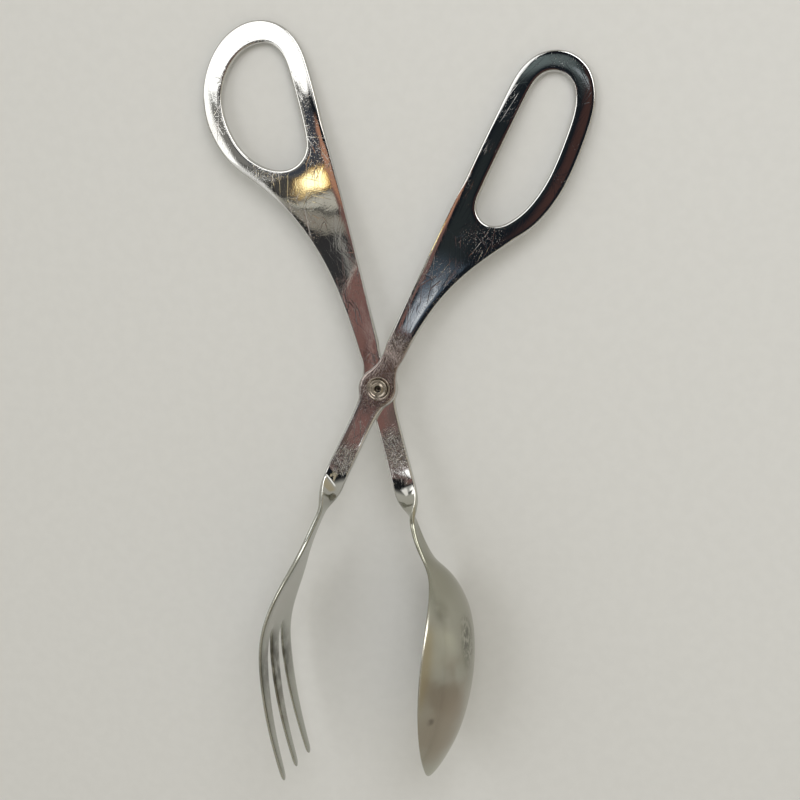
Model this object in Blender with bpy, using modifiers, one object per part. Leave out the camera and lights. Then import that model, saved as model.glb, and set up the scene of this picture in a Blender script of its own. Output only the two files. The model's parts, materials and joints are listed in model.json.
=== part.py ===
"""Scissor serving tongs: a fork arm and a spoon arm, crossed and riveted, opened as in use.

Each arm is one stamped strip of stainless steel. Its finger loop, web, shank, rivet boss,
quarter twist and head are one coarse sheet of quads, thickened with Solidify and rounded
with Subdivision Surface. An arm is built in its own plane: q runs across it, towards the
inner side of its handle, u runs up the handle from the rivet, and z is the rivet's axis.
"""
import math

import bmesh
import bpy
import numpy as np
from mathutils import Matrix, Vector
from mathutils.bvhtree import BVHTree

# The stack on the rivet, in metres
HANDLE_PLATE = 0.0024        # thickness of loops and upper shanks
SEAT_DROP = 0.0004           # the coined seat round the rivet lies this much lower
NECK_PLATE = 0.0016          # thickness in and just below the twist
SPOON_PLATE = 0.0013         # thickness of the bowl
FORK_PLATE = 0.0016          # thickness of the fork's palm
TINE_TIP_PLATE = 0.0011      # thickness at the points of the tines
ARM_GAP = 0.0003             # between the two arms' mating faces
REST_GAP = 0.0003            # under the rivet's head, and on both sides of the washer
HOLE_CLEARANCE = 0.00006     # radial, round the rivet's shank
CUT_OVERRUN = 0.002          # cutters pass the faces that they open by this much

# Angles of the arms as they lie, from straight up, turning to the left
SPOON_ARM_ANGLE = math.radians(14.7)
FORK_ARM_ANGLE = math.radians(-26.0)

# Shank, boss and twist, alike on both arms
SHANK_HALF = 0.00368         # half the shank's width
WAIST_HALF = 0.0033          # half its width just above the boss
WAIST_LENGTH = 0.0026        # the waist runs this far above the boss
BOSS_RADIUS = 0.0064
SEAT_REACH = 0.0118          # the coined seat ends this far up the handle
SEAT_STEP = 0.0007           # length of its sloping step
SEAT_SLANT = math.radians(17)
NECK_HALF = 0.0029           # half the width at the end of the twist
WEB_BASE = 0.0170            # the straight shank ends here and the web begins
TWIST_START = 0.0295         # distance below the rivet
TWIST_LENGTH = 0.0165
TWIST_HALF = 0.00385         # half the width where the twist starts
TWIST_ANGLE = math.radians(90)
SPOON_TWIST_LATE = 1.75      # 1 turns evenly along the twist, and more turns later
FORK_TWIST_LATE = 1.2
EDGE_INSET = 0.0010          # the loop's faces roll over into its edges within this

# Thumb loop, on the spoon arm
THUMB_HOLE_WIDTH = 0.0250
THUMB_HOLE_LENGTH = 0.0422
THUMB_HOLE_FOOT = 0.0767     # from the rivet to the hole's lower end
THUMB_BAR = 0.0066
THUMB_CROWN = 0.0015         # the bar is this much wider over the top of the hole
THUMB_HEEL = 0.0009          # and this much narrower at its outer lower corner
THUMB_FLARE_LOW = 0.029      # reach of the outer edge's curve from the shank
THUMB_FLARE_HIGH = 0.016     # and back from the loop
# across from the inner bar, and along from the foot
THUMB_HOLE_SHARES = ((0, 0.27), (0.05, 0.095), (0.19, 0.02), (0.36, 0), (0.54, 0.035), (0.70, 0.10),
                     (0.88, 0.235), (0.98, 0.42), (0.99, 0.60), (0.92, 0.75), (0.76, 0.885),
                     (0.55, 0.975), (0.33, 1), (0.14, 0.97), (0.03, 0.87), (0, 0.74))

# Finger loop, on the fork arm
FINGER_HOLE_WIDTH = 0.0174
FINGER_HOLE_LENGTH = 0.0534
FINGER_HOLE_FOOT = 0.0635
FINGER_BAR = 0.0065
FINGER_CROWN = 0.0012
FINGER_HEEL = 0.0005
FINGER_FLARE_LOW = 0.022
FINGER_FLARE_HIGH = 0.014
FINGER_HOLE_SHARES = ((0, 0.17), (0.04, 0.065), (0.20, 0.012), (0.36, 0), (0.53, 0.02), (0.70, 0.07),
                      (0.88, 0.18), (0.99, 0.36), (0.99, 0.52), (0.945, 0.68), (0.86, 0.85),
                      (0.66, 0.97), (0.38, 1), (0.13, 0.965), (0.02, 0.90), (0, 0.80))

# Heads, measured along their spines from the end of the twist
SPOON_LENGTH = 0.0845
SPOON_NECK_SHIFT = 0.0001
SPOON_HALF = 0.0233          # half the bowl's width
SPOON_DEPTH = 0.0129         # bowl depth inside
SPOON_TIP_LEAD = 0.0016      # the middle of its end runs this far past the corners
SPOON_BELLY_POWER = 0.75     # 1 is a parabola across the bowl, less is fuller
FORK_LENGTH = 0.0895
FORK_HALF = 0.0182           # half the fork's width where the slots begin
FORK_NECK_SHIFT = 0.0009     # the twist carries the neck inwards by this much
FORK_DISH = 0.0003           # how far its middle is set back from its edges
TINE_WIDTH = 0.0092          # at the root
OUTER_TINE_EXTRA = 0.0012    # the outer tines are wider by this much
TINE_TIP_WIDTH = 0.0036
TINE_PITCH = 0.0156          # between tine points
TINE_ROOT_SHARE = 0.485      # slots start at this share of the spine
TINE_POINT = 0.0016          # how far a point runs past its shoulders
SLOT_ROUND = 0.0020          # rise of the round slot end

# A spine is a row of arcs: the share of its length that each takes, and its bend inwards in degrees
SPOON_SPINE_SHARES = ((0.012, 0), (0.1065, -13), (0.059, 0), (0.1185, 28), (0.1775, 6), (0.5265, -7))
FORK_SPINE_SHARES = ((0.14, 4), (0.134, -3), (0.112, 5), (0.19, 24), (0.346, 12), (0.078, 0))
# along the spine, and the half width or depth there as a share of the full one
SPOON_WIDTH_SHARES = ((0, 0), (0.06, 0.10), (0.142, 0.14), (0.19, 0.21), (0.227, 0.34), (0.26, 0.48),
                      (0.31, 0.64), (0.366, 0.80), (0.43, 0.92), (0.51, 0.995), (0.58, 1), (0.67, 0.95),
                      (0.754, 0.84), (0.84, 0.66), (0.915, 0.44), (0.97, 0.18), (1, 0))
SPOON_DEPTH_SHARES = ((0, 0), (0.13, 0), (0.18, 0.11), (0.227, 0.33), (0.305, 0.65), (0.383, 0.85),
                      (0.46, 0.945), (0.54, 1.005), (0.62, 1.01), (0.70, 0.95), (0.77, 0.86), (0.85, 0.70),
                      (0.93, 0.43), (0.97, 0.23), (1, 0))
SPOON_TIP_SHARE = 0.06
SPOON_ROW_SHARES = (0.06, 0.12, 0.17, 0.21, 0.25, 0.30, 0.36, 0.43, 0.51, 0.59, 0.68, 0.76, 0.84, 0.91,
                    0.965, 1)
FORK_WIDTH_SHARES = ((0, 0), (0.10, 0.07), (0.18, 0.26), (0.26, 0.68), (0.34, 0.88), (0.41, 0.96),
                     (0.49, 0.99), (0.52, 1), (1, 1))
FORK_DISH_SHARES = ((0, 0), (0.18, 0), (0.40, 0.85), (0.60, 1), (1, 0.6))
FORK_ROW_SHARES = (0.08, 0.15, 0.22, 0.29, 0.36, 0.43)
TINE_ROW_SHARES = (0.12, 0.32, 0.55, 0.78, 0.93)

# Columns of the sheet across a strip, from one edge to the other
STRIP_SHARES = (-1, -0.8, -0.58, -0.37, -0.18, 0, 0.18, 0.37, 0.58, 0.8, 1)
WEB_EDGES = len(STRIP_SHARES) - 1
LOOP_EDGES = 22              # round the rest of the loop
FOOT_POINTS = 5              # the web joins the loop over this many points of the hole's outline
WEB_ROWS = 4
TWIST_ROWS = 6
SMOOTH_LEVELS = 1

# Rivet and washer
RIVET_SHIFT = 0.0005         # the rivet stands this far right of the bosses' middle
RIVET_RADIUS = 0.0022
RIVET_HEAD_RADIUS = 0.0040
RIVET_HEAD_RISE = 0.0010
RIVET_ROLL_RADIUS = 0.0031
RIVET_ROLL_HEIGHT = 0.0005
RIVET_HOLLOW_RADIUS = 0.0010
RIVET_HOLLOW_DEPTH = 0.0024
WASHER_RADIUS = 0.0040
WASHER_THICKNESS = 0.0005
WASHER_EDGE = 0.0002         # bevel on the washer
TURN_STEPS = 40
MERGE_REACH = 0.00001

BOSS_PLATE = HANDLE_PLATE - SEAT_DROP
RIVET_HOLE_RADIUS = RIVET_RADIUS + HOLE_CLEARANCE


def new_collection(name):
    collection = bpy.data.collections.new(name)
    bpy.context.scene.collection.children.link(collection)
    return collection


def steel(name, colour, roughness):
    material = bpy.data.materials.new(name)
    material.use_nodes = True
    shader = material.node_tree.nodes["Principled BSDF"]
    shader.inputs["Base Color"].default_value = (*colour, 1)
    shader.inputs["Metallic"].default_value = 1
    shader.inputs["Roughness"].default_value = roughness
    material.diffuse_color = (*colour, 1)
    return material


# Curves

def hermite(p0, p1, m0, m1, chord, t):
    """A point at t on the piece of curve from p0 to p1 with slopes m0 and m1."""
    a, b = 2 * t**3 - 3 * t**2 + 1, t**3 - 2 * t**2 + t
    c, d = -2 * t**3 + 3 * t**2, t**3 - t**2
    return a * p0 + b * chord * m0 + c * p1 + d * chord * m1


def closed_curve(points, steps):
    """A smooth closed curve through the points, with steps places on each piece."""
    points = np.array(points, float)
    count = len(points)
    chords = [np.linalg.norm(points[(i + 1) % count] - points[i]) for i in range(count)]
    slopes = [(points[(i + 1) % count] - points[i - 1]) / (chords[i] + chords[i - 1]) for i in range(count)]
    return np.array([hermite(points[i], points[(i + 1) % count], slopes[i], slopes[(i + 1) % count],
                             chords[i], k / steps) for i in range(count) for k in range(steps)])


def along(table, t):
    """A smooth value at t in a table of (place, value) pairs."""
    places = [row[0] for row in table]
    values = [row[1] for row in table]
    last = len(table) - 1
    i = max(k for k in range(last) if places[k] <= t or k == 0)

    def slope(k):
        low, high = max(k - 1, 0), min(k + 1, last)
        return (values[high] - values[low]) / (places[high] - places[low])
    span = places[i + 1] - places[i]
    return hermite(values[i], values[i + 1], slope(i), slope(i + 1), span, (t - places[i]) / span)


def resample(line, edges):
    """Even steps along an open line of points."""
    reach = np.concatenate([[0], np.cumsum(np.linalg.norm(np.diff(line, axis=0), axis=1))])
    wanted = np.linspace(0, reach[-1], edges + 1)
    return np.stack([np.interp(wanted, reach, line[:, k]) for k in range(2)], axis=1)


def bezier(points, t):
    a, b, c, d = points
    s = 1 - t
    return s**3 * a + 3 * s * s * t * b + 3 * s * t * t * c + t**3 * d


def spine_frame(shares, length, start, at):
    """Place and heading at a share of a spine of arcs; heading 0 runs straight down."""
    place, heading = np.array(start, float), 0.0
    for share, bend in shares:
        part = min(max(at, 0), share)
        run = part * length
        turn = math.radians(bend) * part / share
        middle = heading + turn / 2
        chord = run if turn == 0 else run * math.sin(turn / 2) / (turn / 2)
        place = place + chord * np.array((-math.sin(middle), -math.cos(middle)))
        heading += turn
        at -= share
    return place, heading


# The sheet of an arm

class Sheet:
    """Points in q, u, z with a thickness each, and the quads between them."""

    def __init__(self):
        self.points, self.plates, self.quads = [], [], []

    def add(self, q, u, z, plate):
        self.points.append((q, u, z))
        self.plates.append(plate)
        return len(self.points) - 1

    def join(self, upper, lower, columns=None):
        for k in columns if columns is not None else range(len(upper) - 1):
            self.quads.append((upper[k], lower[k], lower[k + 1], upper[k + 1]))


def loop_rings(hole, bar, crown, heel):
    """Ring points from the hole's edge to the loop's outer edge, starting at the inner bar's foot."""
    steps = 12
    curve = closed_curve(hole, steps)
    split = FOOT_POINTS * steps
    foot = resample(curve[:split + 1], WEB_EDGES)
    rest = resample(np.vstack([curve[split:], curve[:1]]), LOOP_EDGES)
    ring = np.vstack([foot, rest[1:-1]])
    count = len(ring)
    across = np.array([ring[(i + 1) % count] - ring[i - 1] for i in range(count)])
    outward = np.stack([across[:, 1], -across[:, 0]], axis=1)
    outward /= np.linalg.norm(outward, axis=1)[:, None]
    if np.dot(outward[0], (1, 0)) < 0:
        outward = -outward
    left, up = -outward[:, 0], outward[:, 1]
    width = bar + crown * np.maximum(up, 0) ** 2 - 2 * heel * np.maximum(left, 0) * np.maximum(-up, 0)
    return [ring + outward * offset[:, None]
            for offset in (0 * width, 0 * width + EDGE_INSET, width - EDGE_INSET, width)]


def handle(sheet, z, sizes):
    """Loop and web, down to the top of the straight shank. Returns the web's last row."""
    inner = SHANK_HALF - sizes["bar"]
    hole = [(inner - across * sizes["hole_width"], sizes["hole_foot"] + up * sizes["hole_length"])
            for across, up in sizes["hole_shares"]]
    rings = loop_rings(hole, sizes["bar"], sizes["crown"], sizes["heel"])
    rows = [[sheet.add(q, u, z, HANDLE_PLATE) for q, u in ring] for ring in rings]
    count = len(rows[0])
    for inside, outside in zip(rows, rows[1:]):
        for i in range(count):
            j = (i + 1) % count
            sheet.quads.append((inside[i], inside[j], outside[j], outside[i]))
    top_row = [rows[-1][WEB_EDGES - k] for k in range(WEB_EDGES + 1)]
    top = np.array([sheet.points[v][:2] for v in top_row])
    base = np.array([(share * SHANK_HALF, WEB_BASE) for share in STRIP_SHARES])
    tangent = rings[-1][WEB_EDGES + 1] - rings[-1][WEB_EDGES - 1]
    tangent = -tangent / np.linalg.norm(tangent)
    flare = (top[0], top[0] + tangent * sizes["flare_high"],
             base[0] + np.array((0, sizes["flare_low"])), base[0])
    row = top_row
    for step in range(1, WEB_ROWS + 1):
        t = step / WEB_ROWS
        left_shift = bezier(flare, t) - (top[0] * (1 - t) + base[0] * t)
        lower = []
        for k in range(WEB_EDGES + 1):
            share = k / WEB_EDGES
            q, u = top[k] * (1 - t) + base[k] * t + left_shift * (1 - share)
            lower.append(sheet.add(q, u, z, HANDLE_PLATE))
        sheet.join(row, lower)
        row = lower
    return row


def shank(sheet, z, row):
    """Coined seat, waist, boss and lower shank, down to the start of the twist."""
    ring_step = math.radians(22)
    swell = 3 / (2 + math.cos(ring_step))    # the smoothed outline falls back to the boss radius
    boss = [(BOSS_RADIUS * swell * math.sin(ring_step * k), BOSS_RADIUS * swell * math.cos(ring_step * k))
            for k in range(3)]
    rows = [(SEAT_REACH + SEAT_STEP, SHANK_HALF, HANDLE_PLATE, SEAT_SLANT),
            (SEAT_REACH, WAIST_HALF, BOSS_PLATE, SEAT_SLANT),
            (BOSS_RADIUS + WAIST_LENGTH / 2, WAIST_HALF, BOSS_PLATE, 0)]
    rows += [(boss[2][0], boss[2][1], BOSS_PLATE, 0), (boss[1][0], boss[1][1], BOSS_PLATE, 0),
             (boss[0][0], boss[0][1], BOSS_PLATE, 0),
             (-boss[1][0], boss[1][1], BOSS_PLATE, 0), (-boss[2][0], boss[2][1], BOSS_PLATE, 0)]
    rows += [(-BOSS_RADIUS, SHANK_HALF, BOSS_PLATE, 0), (-TWIST_START, TWIST_HALF, BOSS_PLATE, 0)]
    for u, half, plate, slant in rows:
        lower = [sheet.add(share * half, u + share * half * math.tan(slant), z, plate)
                 for share in STRIP_SHARES]
        sheet.join(row, lower)
        row = lower
    return row


def cross_row(sheet, front, place, heading, twist, half, shares, plates, depths, lead=None):
    """One row across the strip: twisted about the plate's middle, dished, some points led on."""
    side = np.array((math.cos(heading), -math.sin(heading), 0))
    down = np.array((-math.sin(heading), -math.cos(heading), 0))
    up = np.array((0, 0, 1.0))
    width = side * math.cos(twist) + up * math.sin(twist)
    face = -side * math.sin(twist) + up * math.cos(twist)
    centre = np.array((place[0], place[1], front * (ARM_GAP + BOSS_PLATE) / 2))
    row = []
    for k, share in enumerate(shares):
        ahead = lead[k] if lead else 0
        sunk = depths[k] + front * plates[k] / 2
        row.append(sheet.add(*(centre + width * share * half - face * sunk + down * ahead), plates[k]))
    return row


def twist(sheet, front, shift, late, row):
    """The quarter turn. Late is 1 for an even turn, and more where it comes further down."""
    for step in range(1, TWIST_ROWS + 1):
        t = step / TWIST_ROWS
        ease = 3 * t ** (2 * late) - 2 * t ** (3 * late)
        place = (-shift * ease, -TWIST_START - TWIST_LENGTH * t)
        half = blend(TWIST_HALF, NECK_HALF, t**3)
        plate = blend(BOSS_PLATE, NECK_PLATE, t)
        lower = cross_row(sheet, front, place, 0, TWIST_ANGLE * ease, half,
                          STRIP_SHARES, [plate] * len(STRIP_SHARES), [0] * len(STRIP_SHARES))
        sheet.join(row, lower)
        row = lower
    return row


def blend(low, high, t):
    return low + (high - low) * t


def spoon_head(sheet, front, row):
    start = (-SPOON_NECK_SHIFT, -TWIST_START - TWIST_LENGTH)
    for at in SPOON_ROW_SHARES:
        place, heading = spine_frame(SPOON_SPINE_SHARES, SPOON_LENGTH, start, at)
        half = blend(NECK_HALF, SPOON_HALF, along(SPOON_WIDTH_SHARES, at))
        depth = SPOON_DEPTH * along(SPOON_DEPTH_SHARES, at)
        plate = blend(NECK_PLATE, SPOON_PLATE, min(1, at / SPOON_ROW_SHARES[4]))
        depths = [depth * (1 - share * share) ** SPOON_BELLY_POWER for share in STRIP_SHARES]
        lead = [SPOON_TIP_LEAD * (1 - share * share) * max(0, 1 - (1 - at) / SPOON_TIP_SHARE)
                for share in STRIP_SHARES]
        lower = cross_row(sheet, front, place, heading, TWIST_ANGLE, half, STRIP_SHARES,
                          [plate] * len(STRIP_SHARES), depths, lead)
        sheet.join(row, lower)
        row = lower


def fork_head(sheet, front, row):
    start = (-FORK_NECK_SHIFT, -TWIST_START - TWIST_LENGTH)
    wide = TINE_WIDTH + OUTER_TINE_EXTRA
    inner, outer = FORK_HALF - wide, FORK_HALF - wide / 2
    middle = TINE_WIDTH / 2
    slot = (inner + middle) / 2
    palm = (-FORK_HALF, -outer, -inner, -slot, -middle, 0, middle, slot, inner, outer, FORK_HALF)
    for at in (*FORK_ROW_SHARES, TINE_ROOT_SHARE):
        place, heading = spine_frame(FORK_SPINE_SHARES, FORK_LENGTH, start, at)
        half = blend(NECK_HALF, FORK_HALF, along(FORK_WIDTH_SHARES, at))
        mix = at / TINE_ROOT_SHARE
        shares = [blend(share, edge / FORK_HALF, mix) for share, edge in zip(STRIP_SHARES, palm)]
        dish = FORK_DISH * along(FORK_DISH_SHARES, at)
        plate = blend(NECK_PLATE, FORK_PLATE, mix)
        rise = [0] * len(shares)
        if at == TINE_ROOT_SHARE:
            rise[3] = rise[7] = -SLOT_ROUND
        lower = cross_row(sheet, front, place, heading, TWIST_ANGLE, half, shares, [plate] * len(shares),
                          [dish * (1 - share * share) for share in shares], rise)
        sheet.join(row, lower)
        row = lower
    tine_columns = (0, 1, 4, 5, 8, 9)
    for at in (*TINE_ROW_SHARES, 1):
        down = blend(TINE_ROOT_SHARE, 1, at)
        place, heading = spine_frame(FORK_SPINE_SHARES, FORK_LENGTH, start, down)
        half = FORK_HALF
        tine = blend(TINE_WIDTH, TINE_TIP_WIDTH, at) / 2
        wide = tine + OUTER_TINE_EXTRA / 2 * (1 - at**3)
        line = blend(outer, TINE_PITCH, 1 - (1 - at) ** 2)
        edges = (-line - wide, -line, -line + wide, 0, -tine, 0, tine, 0, line - wide, line, line + wide)
        shares = [edge / half for edge in edges]
        dish = FORK_DISH * along(FORK_DISH_SHARES, down)
        plate = blend(FORK_PLATE, TINE_TIP_PLATE, at)
        lead = [TINE_POINT if at == 1 and k in (1, 5, 9) else 0 for k in range(len(shares))]
        lower = cross_row(sheet, front, place, heading, TWIST_ANGLE, half, shares, [plate] * len(shares),
                          [dish * (1 - share * share) for share in shares], lead)
        sheet.join(row, lower, tine_columns)
        row = lower


def make_arm(name, side, front, sizes, head, shift, late, angle, material, collection, parent,
             hole_cutter):
    """side is 1 where the handle's inner edge faces +x, and front is 1 for the arm nearer the viewer."""
    sheet = Sheet()
    z = front * ARM_GAP / 2
    row = handle(sheet, z, sizes)
    row = shank(sheet, z, row)
    row = twist(sheet, front, shift, late, row)
    head(sheet, front, row)
    mesh = bpy.data.meshes.new(name)
    quads = sheet.quads if side > 0 else [quad[::-1] for quad in sheet.quads]
    mesh.from_pydata([(side * q, u, w) for q, u, w in sheet.points], [], quads)
    bm = bmesh.new()
    bm.from_mesh(mesh)
    bm.verts.ensure_lookup_table()
    deform = bm.verts.layers.deform.verify()
    for vertex, plate in zip(bm.verts, sheet.plates):
        vertex[deform][0] = plate / HANDLE_PLATE
    bmesh.ops.delete(bm, geom=[v for v in bm.verts if not v.link_faces], context="VERTS")
    shifted = Matrix.Rotation(-angle, 3, "Z") @ Vector((-RIVET_SHIFT, 0, 0))
    bmesh.ops.translate(bm, vec=shifted, verts=bm.verts)
    bm.to_mesh(mesh)
    bm.free()
    arm = bpy.data.objects.new(name, mesh)
    collection.objects.link(arm)
    arm.parent = parent
    arm.rotation_euler.z = angle
    arm.vertex_groups.new(name="plate")
    mesh.materials.append(material)
    mesh.shade_smooth()
    solid = arm.modifiers.new("plate", "SOLIDIFY")
    solid.thickness = HANDLE_PLATE
    solid.offset = front
    solid.vertex_group = "plate"
    solid.use_even_offset = True
    smooth = arm.modifiers.new("rolled edges", "SUBSURF")
    smooth.levels = smooth.render_levels = SMOOTH_LEVELS
    cut = arm.modifiers.new("rivet hole", "BOOLEAN")
    cut.operation = "DIFFERENCE"
    cut.solver = "EXACT"
    cut.object = hole_cutter
    return arm


# Turned pieces

def make_turned(name, profile, closed, material, collection, parent):
    mesh = bpy.data.meshes.new(name)
    edges = [(k, k + 1) for k in range(len(profile) - 1)]
    if closed:
        edges.append((len(profile) - 1, 0))
    mesh.from_pydata([(r, 0, z) for r, z in profile], edges, [])
    mesh.materials.append(material)
    piece = bpy.data.objects.new(name, mesh)
    collection.objects.link(piece)
    piece.parent = parent
    turn = piece.modifiers.new("turn", "SCREW")
    turn.steps = turn.render_steps = TURN_STEPS
    turn.use_merge_vertices = True
    turn.merge_threshold = MERGE_REACH
    turn.use_smooth_shade = True
    return piece


def make_washer(material, collection, parent):
    low = ARM_GAP / 2 + BOSS_PLATE + REST_GAP
    high = low + WASHER_THICKNESS
    profile = [(RIVET_HOLE_RADIUS, high), (WASHER_RADIUS - WASHER_EDGE, high),
               (WASHER_RADIUS, high - WASHER_EDGE), (WASHER_RADIUS, low), (RIVET_HOLE_RADIUS, low)]
    return make_turned("pivot_washer", profile, True, material, collection, parent)


def make_rivet(material, collection, parent):
    """Low domed head behind, and the tubular end rolled out over the washer in front."""
    seat = ARM_GAP / 2 + BOSS_PLATE + REST_GAP + WASHER_THICKNESS + REST_GAP
    top = seat + RIVET_ROLL_HEIGHT
    head = -(ARM_GAP / 2 + BOSS_PLATE + REST_GAP)
    crest = (RIVET_HOLLOW_RADIUS + RIVET_ROLL_RADIUS) / 2
    roll = (RIVET_ROLL_RADIUS - RIVET_HOLLOW_RADIUS) / 2
    dome = [(RIVET_HEAD_RADIUS * math.cos(a), head - RIVET_HEAD_RISE * math.sin(a))
            for a in map(math.radians, (0, 20, 40, 60, 76))]
    profile = [(0, top - RIVET_HOLLOW_DEPTH), (RIVET_HOLLOW_RADIUS, top - RIVET_HOLLOW_DEPTH),
               (RIVET_HOLLOW_RADIUS, top - RIVET_ROLL_HEIGHT)]
    profile += [(crest - roll * math.cos(a), seat + RIVET_ROLL_HEIGHT * math.sin(a))
                for a in map(math.radians, (30, 60, 90, 120, 150, 172))]
    profile += [(RIVET_ROLL_RADIUS, seat), (RIVET_RADIUS, seat), (RIVET_RADIUS, head)]
    profile += dome + [(0, head - RIVET_HEAD_RISE)]
    return make_turned("pivot_rivet", profile, False, material, collection, parent)


def make_hole_cutter(collection, parent):
    reach = ARM_GAP / 2 + HANDLE_PLATE + CUT_OVERRUN
    bpy.ops.mesh.primitive_cylinder_add(vertices=TURN_STEPS, radius=RIVET_HOLE_RADIUS, depth=2 * reach)
    cutter = bpy.context.object
    cutter.name = "rivet_hole_cutter"
    for owner in cutter.users_collection:
        owner.objects.unlink(cutter)
    collection.objects.link(cutter)
    cutter.parent = parent
    cutter.hide_render = True
    cutter.display_type = "WIRE"
    return cutter


# How the open tongs lie

def shape_of(pieces):
    """All corners of the pieces as evaluated, and the middle of their surface."""
    depsgraph = bpy.context.evaluated_depsgraph_get()
    corners, middle, area = [], Vector(), 0.0
    for piece in pieces:
        solid = piece.evaluated_get(depsgraph)
        mesh = solid.to_mesh()
        corners += [solid.matrix_world @ vertex.co for vertex in mesh.vertices]
        for face in mesh.polygons:
            middle += (solid.matrix_world @ face.center) * face.area
            area += face.area
        solid.to_mesh_clear()
    return corners, middle / area


def resting_down(corners, middle):
    """The direction that faces the table once the tongs have rolled onto a stable side."""
    hull = bmesh.new()
    for corner in corners:
        hull.verts.new(corner)
    bmesh.ops.convex_hull(hull, input=hull.verts)
    bmesh.ops.recalc_face_normals(hull, faces=hull.faces)
    hull.faces.ensure_lookup_table()
    tree = BVHTree.FromBMesh(hull)
    down, seen = Vector((0, 0, -1)), set()
    while True:
        place, normal, face, reach = tree.ray_cast(middle, down)
        if face in seen:
            break
        seen.add(face)
        down = hull.faces[face].normal.copy()
    hull.free()
    return down


def lay_down(frame, pieces):
    """Turn the frame so the tongs rest on the ground, with the origin under their middle."""
    bpy.context.view_layer.update()
    corners, middle = shape_of(pieces)
    down = resting_down(corners, middle)
    turn = down.rotation_difference(Vector((0, 0, -1))).to_matrix()
    turned = [turn @ corner for corner in corners]
    low = [min(corner[k] for corner in turned) for k in range(3)]
    high = [max(corner[k] for corner in turned) for k in range(3)]
    shift = Vector((-(low[0] + high[0]) / 2, -(low[1] + high[1]) / 2, -low[2]))
    frame.matrix_world = Matrix.Translation(shift) @ turn.to_4x4()
    bpy.context.view_layer.update()


def main():
    for thing in list(bpy.data.objects):
        bpy.data.objects.remove(thing, do_unlink=True)
    tongs = new_collection("scissor_serving_tongs")
    cutters = new_collection("cutters")
    frame = bpy.data.objects.new("tongs_frame", None)
    tongs.objects.link(frame)
    cutter = make_hole_cutter(cutters, frame)
    thumb = {"hole_width": THUMB_HOLE_WIDTH, "hole_length": THUMB_HOLE_LENGTH, "hole_foot": THUMB_HOLE_FOOT,
             "bar": THUMB_BAR, "crown": THUMB_CROWN, "heel": THUMB_HEEL, "flare_low": THUMB_FLARE_LOW,
             "flare_high": THUMB_FLARE_HIGH, "hole_shares": THUMB_HOLE_SHARES}
    finger = {"hole_width": FINGER_HOLE_WIDTH, "hole_length": FINGER_HOLE_LENGTH,
              "hole_foot": FINGER_HOLE_FOOT, "bar": FINGER_BAR, "crown": FINGER_CROWN,
              "heel": FINGER_HEEL, "flare_low": FINGER_FLARE_LOW, "flare_high": FINGER_FLARE_HIGH,
              "hole_shares": FINGER_HOLE_SHARES}
    spoon_steel = steel("spoon arm steel", (0.62, 0.61, 0.58), 0.18)
    fork_steel = steel("fork arm steel", (0.60, 0.60, 0.58), 0.18)
    spoon_arm = make_arm("spoon_arm", 1, -1, thumb, spoon_head, SPOON_NECK_SHIFT, SPOON_TWIST_LATE,
                         SPOON_ARM_ANGLE, spoon_steel, tongs, frame, cutter)
    fork_arm = make_arm("fork_arm", -1, 1, finger, fork_head, FORK_NECK_SHIFT, FORK_TWIST_LATE,
                        FORK_ARM_ANGLE, fork_steel, tongs, frame, cutter)
    washer = make_washer(steel("washer steel", (0.55, 0.53, 0.50), 0.28), tongs, frame)
    rivet = make_rivet(steel("rivet steel", (0.58, 0.55, 0.50), 0.24), tongs, frame)
    lay_down(frame, (spoon_arm, fork_arm, washer, rivet))
    for piece in (spoon_arm, fork_arm, washer, rivet):
        print(piece.name, [round(v, 5) for v in piece.matrix_world.translation])
    print("rivet axis", [round(v, 5) for v in frame.matrix_world.col[2][:3]])


main()
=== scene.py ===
import json
import math
import bmesh
import bpy
import numpy as np
from mathutils import Matrix, Vector


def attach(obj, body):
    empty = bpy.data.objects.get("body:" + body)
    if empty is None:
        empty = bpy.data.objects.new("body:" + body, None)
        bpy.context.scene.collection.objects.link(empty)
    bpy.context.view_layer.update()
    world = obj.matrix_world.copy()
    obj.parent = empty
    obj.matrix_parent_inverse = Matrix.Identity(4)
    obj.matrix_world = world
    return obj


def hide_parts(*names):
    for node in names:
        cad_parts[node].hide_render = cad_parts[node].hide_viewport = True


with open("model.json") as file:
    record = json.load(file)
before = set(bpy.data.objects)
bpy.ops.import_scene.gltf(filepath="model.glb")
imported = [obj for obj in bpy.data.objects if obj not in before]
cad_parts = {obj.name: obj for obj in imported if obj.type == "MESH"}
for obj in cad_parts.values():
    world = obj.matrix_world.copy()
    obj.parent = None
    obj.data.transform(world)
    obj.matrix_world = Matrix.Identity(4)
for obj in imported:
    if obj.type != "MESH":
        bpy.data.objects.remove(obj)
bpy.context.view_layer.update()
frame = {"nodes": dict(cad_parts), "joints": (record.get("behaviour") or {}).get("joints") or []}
pivot = frame["joints"][0]
print("loaded", sorted(frame["nodes"]))

# The tongs are built flat, with the rivet's axis along z, and then laid on the table
layDown = Vector((0, 0, 1)).rotation_difference(Vector(pivot["axis"])).to_matrix().to_4x4()
tongsPlace = Matrix.Translation(Vector(pivot["pos_m"])) @ layDown

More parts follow.
